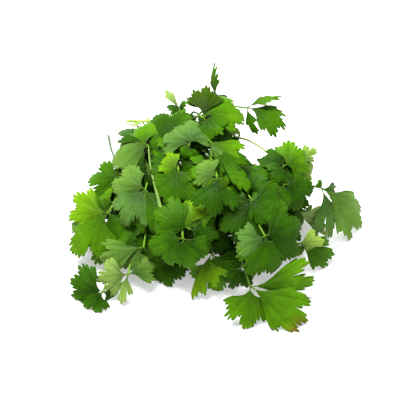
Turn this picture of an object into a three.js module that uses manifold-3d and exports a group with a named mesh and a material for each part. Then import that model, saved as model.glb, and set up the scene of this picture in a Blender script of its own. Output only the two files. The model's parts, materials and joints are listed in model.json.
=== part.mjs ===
// A bunch of fresh coriander lying on its side: long stalks gathered at the cut end, each
// carrying one leaf of three lobed leaflets, fanned out into a low heap.
// Millimetres, +Z up. The stalks' cut ends point to +Y, the leafy end to -Y.
// The origin is on the surface that the bunch lies on, under the middle of its box.
import * as THREE from "three";
import { mergeVertices } from "three/addons/utils/BufferGeometryUtils.js";
import Module from "manifold-3d";

const wasm = await Module();
wasm.setup();

// ---- driving dimensions ----
const HEAP = new THREE.Vector3(100, 104, 92); // half width, half length and height of the leafy heap
const HEAP_HEART = new THREE.Vector3(0, 6, 0); // the point that the leaves face away from
const FACE_BIAS = new THREE.Vector3(0, -0.5, 0.6); // how leaves turn up and forwards from facing out
const RESTING_TURN = 1.1; // how much more the leaves on the surface turn up
const RESTING_REACH = 15; // height over which that fades out
const BLADE_THICKNESS = 1.4; // at a leaflet's middle; it thins to nothing at the margin
const CROWN_RADIUS = 1.3; // the knot where three leaflets meet
const GAP = 0.4; // kept between neighbouring pieces

const STALK_TIP_RADIUS = 0.8;
const STALK_BASE_RADIUS = 1.6;
const STALK_SIDES = 6;
const STALK_STEPS = 7;
const STALK_REST_HEIGHT = STALK_BASE_RADIUS * Math.cos(Math.PI / STALK_SIDES); // of a resting stalk's axis

const BUNDLE_END = new THREE.Vector3(-38, 105.5, 0); // middle of the gathered cut ends, on the surface
const BUNDLE_DIRECTION = new THREE.Vector3(0.3, -1, 0).normalize(); // from the cut ends into the heap
const BUNDLE_STRAIGHT = 30; // length over which the gathered stalks stay parallel
const LANE_PITCH = 4.2; // sideways distance between gathered stalks
const ROW_PITCH = 3.8; // height between rows of gathered stalks
const ROWS = [8, 7, 7, 5]; // stalks in each row, from the bottom
const ROW_SETBACK = 3.5; // how far each row's cut ends are behind those of the row below
const END_STAGGER = 2.5; // step by which the cut ends are out of line within a row
const RISE_AT = 0.62; // where along its free length a stalk stands highest over a straight line
const ARCH = 0.1; // how far it rises there, as a share of that length
const CLEARANCE = 2 * STALK_BASE_RADIUS + 0.7; // least distance between the centre lines of two stalks
const SAMPLES = 42; // places along a stalk at which its neighbours are measured
const SPREAD_ROUNDS = 40;

// ---- the leaves ----
// crown: where the leaflets meet. leaflets: each one's [tip x, y, z, spread, roll, fold]. spread is
// how wide its fan opens, roll turns it about its midrib from facing out of the heap, and fold is how
// far its halves are folded down along the midrib, both in degrees. Most stalks run back to the
// gathered end, rising by arch on the way; tail and via give the route of one that doesn't.
const SPRIGS = [
  { name: "front_right", crown: [22, -86, 20],
    leaflets: [[61, -102, 0, 0.44], [67, -74, 12, 0.38], [19, -106, 0, 0.78]] },
  { name: "big_right", crown: [31, -66, 46], arch: 0.16,
    leaflets: [[57, -52, 42, 1.1], [14, -73, 36, 1], [37, -80, 20, 0.95]] },
  { name: "small_right", crown: [54, -50, 22], arch: 0,
    leaflets: [[72, -43, 16, 0.4], [80, -44, 2, 0.5], [57, -51, 8, 0.6]] },
  { name: "folded_right", crown: [54, -29, 34], arch: -0.05,
    leaflets: [[79, -27, 3, 0.6, 95, 70], [57, -34, 18, 0.8]] },
  { name: "far_right", crown: [72, -12, 36], arch: -0.05,
    leaflets: [[79, -34, 8, 0.5], [103, -16, 1, 0.6], [69, -10, 42, 0.6], [89, -2, 18, 0.5]] },
  { name: "upper_right", crown: [55, -4, 52], arch: -0.1,
    leaflets: [[71, 12, 52, 0.5], [70, -1, 42, 0.8], [57, 13, 48, 0.8]] },
  { name: "mid_right", crown: [45, -25, 52], arch: -0.08,
    leaflets: [[66, -22, 44, 1.2], [21, -19, 54, 0.95], [40, -39, 44, 0.95]] },
  { name: "dark_right", crown: [45, -16, 60], arch: 0.12,
    leaflets: [[34, -2, 64, 1.1], [62, -1, 60, 1], [36, -26, 56, 1]] },
  { name: "back_right", crown: [22, 37, 66], arch: 0.18,
    leaflets: [[49, 46, 70, 0.38, -15], [50, 26, 58, 0.56], [28, 20, 56, 0.4, 60]] },
  { name: "top", crown: [-8, 7, 82], arch: 0.18,
    leaflets: [[-6, 36, 88, 0.52], [12, 34, 80, 0.95], [4, -6, 76, 1.1]] },
  { name: "spire", crown: [1, 48, 66], arch: 0,
    leaflets: [[0, 65, 86, 0.42, -60], [-9, 65, 50, 0.7], [4, 63, 46, 0.6]] },
  { name: "under_top", crown: [0, 7, 72],
    leaflets: [[12, 1, 64, 1.1], [21, 19, 60, 0.4], [3, -1, 64, 1]] },
  { name: "upper_middle", crown: [-17, -11, 74],
    leaflets: [[-35, 4, 70, 0.65], [-14, 10, 80, 1.1], [-23, -15, 66, 1.2]] },
  { name: "dark_upper_left", crown: [-29, 6, 64], arch: 0.24,
    leaflets: [[-42, 34, 62, 0.95], [-29, 30, 60, 0.8], [-44, 21, 58, 0.55], [-40, -10, 54, 0.9]] },
  { name: "upper_left", crown: [-45, 4, 60], tail: [-35, -48, 50], via: [[-43, -15, 60]],
    leaflets: [[-63, 23, 52, 1.1], [-73, 4, 46, 1.05], [-67, 33, 50, 0.5, 30]] },
  { name: "outer_left", crown: [-62, -10, 42], tail: [-81, 81, 2], via: [[-74, 38, 24]],
    leaflets: [[-88, 2, 32, 0.6], [-81, -10, 30, 0.6], [-71, 3, 40, 0.6]] },
  { name: "mid_left", crown: [-46, -27, 50],
    leaflets: [[-69, -13, 42, 0.9], [-63, -46, 35, 0.7], [-45, -46, 38, 0.6], [-34, -56, 34, 0.9]] },
  { name: "low_left", crown: [-71, -33, 34],
    leaflets: [[-102, -25, 22, 0.7], [-94, -48, 10, 0.8], [-58, -51, 22, 0.85], [-82, -18, 34, 0.5]] },
  { name: "front_left", crown: [-57, -72, 16],
    leaflets: [[-79, -72, 12, 0.75], [-61, -85, 2, 0.5], [-37, -63, 16, 0.6]] },
  { name: "pale_left", crown: [-47, -59, 28],
    leaflets: [[-80, -59, 15, 0.4], [-63, -63, 12, 0.6], [-43, -59, 14, 0.7]] },
  { name: "corner_left", crown: [-73, -81, 9],
    leaflets: [[-97, -70, 9, 0.7], [-86, -88, 0, 1], [-64, -77, 0, 0.7]] },
  { name: "front_middle", crown: [-21, -66, 44],
    leaflets: [[-17, -75, 22, 1.1], [-45, -61, 30, 0.95], [-4, -70, 32, 0.6]] },
  { name: "folded_front", crown: [-2, -65, 28],
    leaflets: [[-16, -80, 0, 0.95, 85, 70], [2, -72, 0, 0.8], [11, -66, 8, 0.7]] },
  { name: "low_front", crown: [-31, -59, 14],
    leaflets: [[-33, -70, 0, 1.2], [-46, -61, 0, 0.8], [-21, -61, 0, 0.8]] },
  { name: "bright_middle", crown: [-17, -60, 46],
    leaflets: [[-17, -41, 56, 0.7], [-27, -49, 50, 0.7], [-8, -47, 50, 0.7], [3, -60, 40, 0.9], [-40, -50, 52, 0.8]] },
  { name: "pale_middle", crown: [1, -37, 70],
    leaflets: [[-15, -24, 66, 0.8], [-8, -41, 60, 0.8], [7, -40, 60, 0.8], [-2, -60, 56, 0.7]] },
  { name: "yellow_middle", crown: [-24, -26, 66],
    leaflets: [[-37, -14, 66, 0.7], [-34, -28, 60, 0.8], [-19, -37, 60, 0.8], [-30, -46, 50, 0.9]] },
  { name: "striped_middle", crown: [-4, -9, 76],
    leaflets: [[18, -22, 66, 0.6], [4, -25, 68, 0.4], [11, -12, 66, 0.5], [22, -36, 58, 0.5]] },
  { name: "inner_right", crown: [23, -45, 58], arch: 0.02,
    leaflets: [[33, -59, 50, 1.1], [14, -50, 50, 1.1], [44, -45, 50, 1.1], [12, -68, 40, 0.8]] },
  { name: "pale_back", crown: [-25, 57, 47], tail: [-68, 98, 2], via: [[-48, 88, 11]],
    leaflets: [[-37, 76, 52, 0.34], [-35, 58, 50, 1.2], [-20, 60, 34, 0.7]] },
];

// A leaflet's margin on one side of its midrib: [degrees from the midrib, reach as a share of its
// length], seen from its base. Three lobes on a short neck.
const HALF_MARGIN = [[11, 0.96], [18, 0.68], [30, 0.93], [46, 0.9], [56, 0.66], [74, 0.68], [18, 0.12]];
const NECK_END = -0.05; // where the neck ends, inside the knot
const BLADE_MIDDLE = 0.42; // where the blade is thickest and its facets meet
const DROOP = 0.6; // radians by which a leaflet bends along its length
const CUP = 0.3; // how far the sides of a leaflet hang below its midrib
const FOLD = 8; // degrees by which most leaflets are folded down along the midrib
const SETTLE = 3; // height under which leaves flatten out on the surface

/** The leaflet's outline round its middle, flat and 1 long, as [along, across]. */
function outline(spread) {
  const at = ([degrees, reach], side) => {
    const angle = THREE.MathUtils.degToRad(degrees) * side * spread;
    return [reach * Math.cos(angle), reach * Math.sin(angle)];
  };
  const left = HALF_MARGIN.map((point) => at(point, 1));
  const right = HALF_MARGIN.map((point) => at(point, -1)).reverse();
  return [[1, 0], ...left, [NECK_END, 0], ...right];
}

/** The direction that a leaf at this point faces: out of the heap, turned up and forwards. */
function facing(point) {
  const out = point.clone().sub(HEAP_HEART).divide(HEAP).divide(HEAP).normalize();
  out.z += RESTING_TURN * Math.exp(-point.z / RESTING_REACH);
  return out.add(FACE_BIAS).normalize();
}

/** A height as a leaf that rests on the surface takes it: never below it. */
function settled(height) {
  return height < SETTLE ? SETTLE * Math.exp(height / SETTLE - 1) : height;
}

/** A function that carries [along, across, over] in a leaflet's flat frame to its bent place. */
function bentFrame(crown, [x, y, z, , roll = 0, fold = FOLD]) {
  const tip = new THREE.Vector3(x, y, z);
  const axis = tip.clone().sub(crown);
  const length = axis.length();
  axis.normalize();
  const up = facing(crown.clone().add(tip).multiplyScalar(0.5));
  up.addScaledVector(axis, -up.dot(axis)).normalize();
  up.applyAxisAngle(axis, THREE.MathUtils.degToRad(roll));
  const side = up.clone().cross(axis);
  const chord = (2 * Math.sin(DROOP / 2)) / DROOP;
  const folded = THREE.MathUtils.degToRad(fold);
  return (along, across, over) => {
    const turned = DROOP * (0.5 - along);
    const ahead = (Math.sin(DROOP / 2) - Math.sin(turned)) / DROOP / chord;
    const arch = (Math.cos(turned) - Math.cos(DROOP / 2)) / DROOP / chord;
    const hang = Math.abs(across) * Math.sin(folded) + CUP * across * across;
    const point = crown
      .clone()
      .addScaledVector(axis, ahead * length)
      .addScaledVector(side, across * Math.cos(folded) * length)
      .addScaledVector(up, (arch - hang) * length);
    const below = Math.max(0, -over * up.z);
    point.z = settled(point.z - below) + below;
    if (across === 0) return point.addScaledVector(up, over / Math.cos(folded));
    point.addScaledVector(side, Math.sign(across) * Math.sin(folded) * over);
    return point.addScaledVector(up, Math.cos(folded) * over);
  };
}

/** One leaflet's blade: a disc whose rim follows the margin, thick in the middle and with a sharp
 *  rim. grow thickens it all round, rim and all. */
function bladeGeometry(place, length, spread, grow) {
  const rim = outline(spread);
  const count = rim.length;
  const disc = grow ? new THREE.CylinderGeometry(1, 1, 1, count) : new THREE.SphereGeometry(1, count, 2);
  const position = disc.getAttribute("position");
  const widened = 1 + (4 * grow) / length;
  for (let i = 0; i < position.count; i += 1) {
    const [x, y, z] = [position.getX(i), position.getY(i), position.getZ(i)];
    const atRim = Math.hypot(x, z) > 0.5;
    const turn = Math.round((Math.atan2(x, z) / (2 * Math.PI) + 1) * count) % count;
    const [along, across] = atRim ? rim[turn] : [BLADE_MIDDLE, 0];
    const over = Math.sign(y) * (atRim ? grow : grow + BLADE_THICKNESS / 2);
    const point = place(BLADE_MIDDLE + (along - BLADE_MIDDLE) * widened, across * widened, over);
    position.setXYZ(i, point.x, point.y, point.z);
  }
  return disc;
}

/** A closed geometry as a solid for joining and cutting. */
function solidOf(geometry) {
  geometry.deleteAttribute("normal");
  geometry.deleteAttribute("uv");
  const merged = mergeVertices(geometry, 1e-3);
  const vertProperties = merged.getAttribute("position").array;
  const triVerts = new Uint32Array(merged.index.array);
  const solid = new wasm.Manifold(new wasm.Mesh({ numProp: 3, vertProperties, triVerts }));
  if (solid.volume() > 0) return solid;
  return new wasm.Manifold(new wasm.Mesh({ numProp: 3, vertProperties, triVerts: triVerts.reverse() }));
}

/** The largest of a solid's separate bodies, without any sealed hollow. */
function mainBody(solid) {
  return solid.decompose().reduce((best, body) => (body.volume() > best.volume() ? body : best));
}

/** A solid back as a geometry for a mesh. */
function geometryOf(solid) {
  const mesh = solid.getMesh();
  const geometry = new THREE.BufferGeometry();
  geometry.setAttribute("position", new THREE.BufferAttribute(mesh.vertProperties, 3));
  geometry.setIndex(new THREE.BufferAttribute(mesh.triVerts, 1));
  geometry.computeVertexNormals();
  return geometry;
}

/** A leaf: three blades whose necks meet in a knot at the crown. */
function leafSolid(sprig, grow = 0) {
  const crown = new THREE.Vector3(...sprig.crown);
  const knot = new THREE.OctahedronGeometry(CROWN_RADIUS + grow).translate(...sprig.crown);
  const blades = sprig.leaflets.map((leaflet) => {
    const length = crown.distanceTo(new THREE.Vector3(...leaflet.slice(0, 3)));
    return bladeGeometry(bentFrame(crown, leaflet), length, leaflet[3], grow);
  });
  return mainBody(wasm.Manifold.union([knot, ...blades].map(solidOf)));
}

/** Gives each stalk its place at the gathered end: low crowns in the low rows, left on the left. */
function assignLanes(sprigs) {
  const byHeight = sprigs.filter((s) => !s.tail).sort((a, b) => a.crown[2] - b.crown[2]);
  const across = new THREE.Vector3(-BUNDLE_DIRECTION.y, BUNDLE_DIRECTION.x, 0);
  ROWS.forEach((count, row) => {
    const inRow = byHeight.splice(0, count).sort((a, b) => a.crown[0] - b.crown[0]);
    inRow.forEach((sprig, column) => {
      const lane = (column - (inRow.length - 1) / 2) * LANE_PITCH;
      const height = STALK_REST_HEIGHT + row * ROW_PITCH;
      const setback = row * ROW_SETBACK + ((column * 3 + row * 2) % 5) * END_STAGGER;
      sprig.lane = BUNDLE_END.clone()
        .addScaledVector(across, lane)
        .addScaledVector(BUNDLE_DIRECTION, setback)
        .setZ(height);
    });
  });
}

/** The points that a stalk runs through, from its cut end to just short of its leaf's crown. */
function stalkRoute(sprig) {
  const crown = new THREE.Vector3(...sprig.crown);
  let stations = [...(sprig.via ?? [])].map((point) => new THREE.Vector3(...point));
  if (!sprig.tail) {
    const parted = sprig.lane.clone().addScaledVector(BUNDLE_DIRECTION, BUNDLE_STRAIGHT);
    const risen = parted.clone().lerp(crown, RISE_AT);
    risen.z += (sprig.arch ?? ARCH) * crown.distanceTo(parted);
    stations = [parted, risen];
  }
  const start = sprig.tail ? new THREE.Vector3(...sprig.tail) : sprig.lane;
  const curve = new THREE.CatmullRomCurve3([start, ...stations, crown]);
  const share = 1 - (CROWN_RADIUS + GAP + STALK_TIP_RADIUS) / curve.getLength();
  return [...Array(STALK_STEPS + 1).keys()].map((step) => {
    const point = curve.getPointAt((step / STALK_STEPS) * share);
    return point.setZ(Math.max(point.z, STALK_REST_HEIGHT));
  });
}

/** The closest approach of two routes: [distance, place on the first, place on the second]. */
function closest(first, second) {
  let best = [Infinity, 0, 0];
  for (let i = 0; i <= SAMPLES; i += 1) {
    for (let j = 0; j <= SAMPLES; j += 1) {
      const distance = first[i].distanceTo(second[j]);
      if (distance < best[0]) best = [distance, i, j];
    }
  }
  return best;
}

/** Evenly spaced points on the straight stretches between a route's points. */
function sampled(route) {
  return [...Array(SAMPLES + 1).keys()].map((i) => {
    const place = (i / SAMPLES) * STALK_STEPS;
    const step = Math.min(Math.floor(place), STALK_STEPS - 1);
    return route[step].clone().lerp(route[step + 1], place - step);
  });
}

/** Moves a route's inner points by a push that fades out along it; its ends stay. */
function nudge(route, sample, push) {
  const place = (sample / SAMPLES) * STALK_STEPS;
  for (let step = 1; step < STALK_STEPS; step += 1) {
    route[step].addScaledVector(push, Math.max(0, 1 - Math.abs(place - step) / 1.5));
    route[step].z = Math.max(route[step].z, STALK_REST_HEIGHT);
  }
}

/** Pushes the stalks apart, as they lie in a real bunch, until each one clears its neighbours. */
function spreadRoutes(routes) {
  for (let round = 0; round < SPREAD_ROUNDS; round += 1) {
    const samples = routes.map(sampled);
    for (let a = 0; a < routes.length; a += 1) {
      for (let b = 0; b < a; b += 1) {
        const [distance, i, j] = closest(samples[a], samples[b]);
        if (distance >= CLEARANCE) continue;
        const push = samples[a][i].clone().sub(samples[b][j]).setLength((CLEARANCE - distance) / 2);
        nudge(routes[a], i, push);
        nudge(routes[b], j, push.negate());
      }
    }
  }
}

/** A stalk: a rod whose rings stand on its route's points. grow thickens it all round. */
function stalkSolid(route, grow = 0) {
  const radii = [STALK_TIP_RADIUS + grow, STALK_BASE_RADIUS + grow];
  const turn = Math.PI / STALK_SIDES;
  const rod = new THREE.CylinderGeometry(...radii, 1, STALK_SIDES, STALK_STEPS, false, turn);
  const position = rod.getAttribute("position");
  for (let i = 0; i < position.count; i += 1) {
    const step = Math.round((position.getY(i) + 0.5) * STALK_STEPS);
    const before = route[Math.max(step - 1, 0)];
    const after = route[Math.min(step + 1, STALK_STEPS)];
    const ahead = after.clone().sub(before).normalize();
    const side = new THREE.Vector3(-ahead.y, ahead.x, 0).normalize();
    const up = ahead.clone().cross(side);
    const lengthened = step === 0 ? -grow : step === STALK_STEPS ? grow : 0;
    const point = route[step]
      .clone()
      .addScaledVector(ahead, lengthened)
      .addScaledVector(side, position.getX(i))
      .addScaledVector(up, position.getZ(i));
    position.setXYZ(i, point.x, point.y, point.z);
  }
  return solidOf(rod);
}

/** Cuts a solid back wherever it comes too near one of the others, given with the gap added. */
function trimmed(solid, others) {
  const near = others.filter((other) => solid.intersect(other).volume() > 0);
  return near.length ? mainBody(near.reduce((rest, other) => rest.subtract(other), solid)) : solid;
}

const bunch = new THREE.Group();
bunch.name = "coriander_bunch";
const leafMaterial = new THREE.MeshStandardMaterial({ color: 0x3f7d1a, roughness: 0.5, metalness: 0 });
const stalkMaterial = new THREE.MeshStandardMaterial({ color: 0x86b13c, roughness: 0.45, metalness: 0 });

function addPiece(name, solid, material) {
  const mesh = new THREE.Mesh(geometryOf(solid), material);
  mesh.name = name;
  bunch.add(mesh);
}

assignLanes(SPRIGS);
const routes = SPRIGS.map(stalkRoute);
spreadRoutes(routes);
const placed = routes.map((route) => stalkSolid(route, GAP));
SPRIGS.forEach((sprig, i) => {
  addPiece(`${sprig.name}_stalk`, stalkSolid(routes[i]), stalkMaterial);
  addPiece(`${sprig.name}_leaf`, trimmed(leafSolid(sprig), placed), leafMaterial);
  placed.push(leafSolid(sprig, GAP));
});

export default bunch;
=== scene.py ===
"""A bunch of coriander lying on its side: leaves, stalks, their finish, and a pale studio.

Lengths are in millimetres where they describe the plant and are turned into metres when meshes
are made. Every leaflet keeps the crown and the tip of its CAD blade, and every stalk runs along its
CAD solid's own centre line. The smaller leaflets lower down the stalks are only here.
"""
import json
import math
from collections import namedtuple

import bpy
import numpy as np
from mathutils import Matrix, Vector

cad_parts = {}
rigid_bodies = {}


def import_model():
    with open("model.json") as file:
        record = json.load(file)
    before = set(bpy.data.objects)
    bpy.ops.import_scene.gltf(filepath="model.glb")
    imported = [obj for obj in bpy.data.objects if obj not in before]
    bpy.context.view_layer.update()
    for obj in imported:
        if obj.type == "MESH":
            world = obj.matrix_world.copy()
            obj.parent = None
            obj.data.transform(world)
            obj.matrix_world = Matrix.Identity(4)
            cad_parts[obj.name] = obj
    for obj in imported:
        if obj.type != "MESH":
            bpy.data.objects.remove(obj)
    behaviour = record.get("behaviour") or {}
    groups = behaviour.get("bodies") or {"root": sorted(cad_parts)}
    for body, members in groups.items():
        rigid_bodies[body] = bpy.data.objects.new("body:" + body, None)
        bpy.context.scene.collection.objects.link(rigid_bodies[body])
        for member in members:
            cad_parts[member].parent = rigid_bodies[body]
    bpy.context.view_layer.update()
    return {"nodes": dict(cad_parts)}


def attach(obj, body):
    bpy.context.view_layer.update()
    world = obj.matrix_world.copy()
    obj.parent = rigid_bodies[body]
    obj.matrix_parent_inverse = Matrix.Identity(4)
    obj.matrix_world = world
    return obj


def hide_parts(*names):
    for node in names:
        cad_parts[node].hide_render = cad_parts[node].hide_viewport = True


MM = 0.001

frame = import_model()

# ---------------------------------------------------------------- camera
AIM = Vector((-5, -30, 35)) * MM
ELEVATION = math.radians(45)
DISTANCE = 0.7
LENS = 90.9

camera = bpy.data.objects.new("camera", bpy.data.cameras.new("camera"))
bpy.context.scene.collection.objects.link(camera)
camera.data.lens = LENS
camera.data.sensor_width = 36
camera.location = AIM + DISTANCE * Vector((0, -math.cos(ELEVATION), math.sin(ELEVATION)))
camera.rotation_euler = (math.pi / 2 - ELEVATION, 0, 0)
bpy.context.scene.camera = camera

# ---------------------------------------------------------------- the leaves
# linear red, green and blue of a leaflet's upper face: the leaves' own greens, with painted light
# 'deep' and 'dark' are painted shade on leaflets inside or under the heap; 'blue' and 'light' a painted
# sheen
TONES_AND_PAINTED_LIGHT = {
    "deep": (0.014, 0.060, 0.001),
    "dark": (0.021, 0.088, 0.001),
    "olive": (0.030, 0.080, 0.001),
    "mid": (0.038, 0.140, 0.001),
    "green": (0.068, 0.205, 0.002),
    "bright": (0.115, 0.275, 0.003),
    "lime": (0.210, 0.370, 0.055),
    "pale": (0.185, 0.320, 0.065),
    "blue": (0.076, 0.190, 0.032),
    "light": (0.105, 0.240, 0.032),
}
PAINTED_SHADE_AT_BASE = 0.46  # painted shade: how bright a leaflet is at its base, where leaves overlap near the crown
PAINTED_LIGHT_AT_MARGIN = 1.1  # and, as painted light, at its margin
PAINTED_SHADE_REACH = (0.05, 0.95)  # reaches between which it goes from the one to the other
MARGIN_WARMTH = (0.3, 0.06, 0.0)  # by which red, green and blue gain there besides
TONE_WANDER = (0.9, 1.12)  # how uneven leaflets of one tone are in brightness
FINISH_SHIFT = 2000.0  # up to which each leaflet's patches and grain are shifted

# One leaflet: where its tip is, how wide it opens, its tone, and its plan, or none for one that
# suits its width. roll turns it about its midrib from facing out of the heap, and fold is how far
# its halves are folded down along the midrib, both in degrees. A negative fold with the roll turned
# by 180 degrees puts the blade in the same place with its underside outward.
FOLD = 8
Tip = namedtuple("Tip", "x y z spread tone plan roll fold", defaults=(None, 0, FOLD))

# name: (crown, its leaflets), placed as the CAD solids are
SPRIGS = {
    "front_right": ((22, -86, 20), [
        Tip(61, -102, 0, 0.44, "green", "clover"),
        Tip(67, -74, 12, 0.38, "green", "three"),
        Tip(19, -106, 0, 0.78, "green", "fan"),
    ]),
    "big_right": ((31, -66, 46), [
        Tip(57, -52, 42, 1.1, "dark", "fan"),
        Tip(14, -73, 36, 1, "blue", "fan"),
        Tip(37, -80, 20, 0.95, "mid", "clover"),
    ]),
    "small_right": ((54, -50, 22), [
        Tip(72, -43, 16, 0.55, "lime", "three"),
        Tip(80, -44, 2, 0.5, "mid", "clover"),
        Tip(57, -51, 8, 0.6, "green"),
    ]),
    "folded_right": ((54, -29, 34), [
        Tip(79, -27, 3, 0.6, "lime", "ovate", roll=275, fold=-70),
        Tip(57, -34, 18, 0.8, "mid"),
    ]),
    "far_right": ((72, -12, 36), [
        Tip(79, -34, 8, 0.44, "blue", "three"),
        Tip(103, -16, 1, 0.46, "light", "fan"),
        Tip(69, -10, 42, 0.6, "mid"),
        Tip(89, -2, 18, 0.5, "blue"),
    ]),
    "upper_right": ((55, -4, 52), [
        Tip(71, 12, 52, 0.5, "lime"),
        # lime here is painted light: a lighter tone for a leaflet that lies in shade
        Tip(70, -1, 42, 0.8, "lime"),
        Tip(57, 13, 48, 0.8, "bright"),
    ]),
    "mid_right": ((45, -25, 52), [
        Tip(66, -22, 44, 1.2, "dark", "fan"),
        Tip(21, -19, 54, 0.95, "dark"),
        Tip(40, -39, 44, 0.95, "mid"),
    ]),
    "dark_right": ((45, -16, 60), [
        Tip(34, -2, 64, 1.1, "dark", "fan"),
        Tip(62, -1, 60, 1.0, "green", "fan"),
        Tip(36, -26, 56, 1, "dark"),
    ]),
    "back_right": ((22, 37, 66), [
        Tip(49, 46, 70, 0.38, "green", "ovate", roll=-15),
        Tip(50, 26, 58, 0.56, "mid", "fan"),
        Tip(28, 20, 56, 0.4, "mid", roll=60),
    ]),
    "top": ((-8, 7, 82), [
        Tip(-6, 36, 88, 0.52, "olive", "fan"),
        Tip(12, 34, 80, 0.95, "green", "fan"),
        Tip(4, -6, 76, 1.1, "mid", "clover"),
    ]),
    "spire": ((1, 48, 66), [
        Tip(0, 65, 86, 0.42, "mid", "ovate", roll=-60),
        Tip(-9, 65, 50, 0.7, "mid"),
        Tip(4, 63, 46, 0.6, "mid"),
    ]),
    "under_top": ((0, 7, 72), [
        Tip(12, 1, 64, 1.1, "dark"),
        Tip(21, 19, 60, 0.4, "lime"),
        Tip(3, -1, 64, 1, "dark"),
    ]),
    "upper_middle": ((-17, -11, 74), [
        Tip(-35, 4, 70, 0.65, "blue", "three"),
        Tip(-14, 10, 80, 1.1, "blue", "fan"),
        Tip(-23, -15, 66, 1.2, "mid"),
    ]),
    "dark_upper_left": ((-29, 6, 64), [
        Tip(-42, 34, 62, 0.95, "dark"),
        Tip(-29, 30, 60, 0.8, "dark"),
        Tip(-44, 21, 58, 0.55, "dark"),
        Tip(-40, -10, 54, 0.9, "dark"),
    ]),
    "upper_left": ((-45, 4, 60), [
        Tip(-63, 23, 52, 1.1, "green", "fan"),
        Tip(-73, 4, 46, 1.05, "light", "fan"),
        Tip(-67, 33, 50, 0.5, "dark", roll=30),
    ]),
    "outer_left": ((-62, -10, 42), [
        Tip(-88, 2, 32, 0.6, "mid", "three"),
        Tip(-81, -10, 30, 0.6, "dark"),
        Tip(-71, 3, 40, 0.6, "olive"),
    ]),
    "mid_left": ((-46, -27, 50), [
        Tip(-69, -13, 42, 0.9, "light", "fan"),
        Tip(-63, -46, 35, 0.7, "blue", "three"),
        Tip(-45, -46, 38, 0.6, "light"),
        Tip(-34, -56, 34, 0.9, "mid"),
    ]),
    "low_left": ((-71, -33, 34), [
        Tip(-102, -25, 22, 0.7, "bright", "fan"),
        Tip(-94, -48, 10, 0.8, "green", "fan"),
        Tip(-58, -51, 22, 0.85, "mid"),
        Tip(-82, -18, 34, 0.5, "mid"),
    ]),
    "front_left": ((-57, -72, 16), [
        Tip(-79, -72, 12, 0.75, "pale", "three"),
        Tip(-61, -85, 2, 0.5, "pale"),
        Tip(-37, -63, 16, 0.6, "light"),
    ]),
    "pale_left": ((-47, -59, 28), [
        Tip(-80, -59, 15, 0.4, "light", "three"),
        Tip(-63, -63, 12, 0.6, "light"),
        Tip(-43, -59, 14, 0.7, "mid"),
    ]),
    "corner_left": ((-73, -81, 9), [
        Tip(-97, -70, 9, 0.7, "dark", "fan"),
        Tip(-86, -88, 0, 1, "dark", "fan"),
        Tip(-64, -77, 0, 0.7, "dark"),
    ]),
    "front_middle": ((-21, -66, 44), [
        Tip(-17, -75, 22, 1.1, "mid", "fan"),
        Tip(-45, -61, 30, 0.95, "mid", "fan"),
        Tip(-4, -70, 32, 0.6, "dark"),
    ]),
    "folded_front": ((-2, -65, 28), [
        Tip(-16, -80, 0, 0.95, "bright", "ovate", roll=85, fold=70),
        Tip(2, -72, 0, 0.8, "green"),
        Tip(11, -66, 8, 0.7, "mid"),
    ]),
    "low_front": ((-31, -59, 14), [
        Tip(-33, -70, 0, 1.2, "dark"),
        Tip(-46, -61, 0, 0.8, "dark"),
        Tip(-21, -61, 0, 0.8, "deep"),
    ]),
    "bright_middle": ((-17, -60, 46), [
        Tip(-17, -41, 56, 0.7, "bright"),
        Tip(-27, -49, 50, 0.7, "bright"),
        Tip(-8, -47, 50, 0.7, "green"),
        Tip(3, -60, 40, 0.9, "dark"),
        Tip(-40, -50, 52, 0.8, "mid", "fan"),
    ]),
    "pale_middle": ((1, -37, 70), [
        Tip(-15, -24, 66, 0.8, "light"),
        Tip(-8, -41, 60, 0.8, "green"),
        Tip(7, -40, 60, 0.8, "green"),
        Tip(-2, -60, 56, 0.7, "dark"),
    ]),
    "yellow_middle": ((-24, -26, 66), [
        Tip(-37, -14, 66, 0.7, "bright"),
        Tip(-34, -28, 60, 0.8, "mid"),
        Tip(-19, -37, 60, 0.8, "mid"),
        Tip(-30, -46, 50, 0.9, "mid"),
    ]),
    "striped_middle": ((-4, -9, 76), [
        Tip(18, -22, 66, 0.6, "green"),
        Tip(4, -25, 68, 0.4, "light"),
        Tip(11, -12, 66, 0.5, "mid"),
        Tip(22, -36, 58, 0.5, "mid"),
    ]),
    "inner_right": ((23, -45, 58), [
        Tip(33, -59, 50, 1.1, "dark"),
        Tip(14, -50, 50, 1.1, "deep"),
        Tip(44, -45, 50, 1.1, "dark"),
        Tip(12, -68, 40, 0.8, "deep"),
    ]),
    "pale_back": ((-25, 57, 47), [
        Tip(-37, 76, 52, 0.2, "pale", "oval"),
        Tip(-35, 58, 50, 1.2, "dark"),
        Tip(-20, 60, 34, 0.7, "dark"),
    ]),
}

# leaflets with browned tips at one side, by their tips' places; their two browns and how far each
# covers the green, the reaches over which each sets in, and the angles over which the browning sets
# in and ends, in radians
SCORCHED = {(61, -102, 0)}
AGED = (0.16, 0.17, 0.004)
AGED_SHARE = 0.6
BURNT = (0.10, 0.045, 0.006)
BURNT_SHARE = 0.85
AGEING = (0.62, 0.84)
BURNING = (0.74, 0.88)
BROWN_FROM = (-0.55, -0.4)
BROWN_TO = (-0.05, 0.1)

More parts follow.
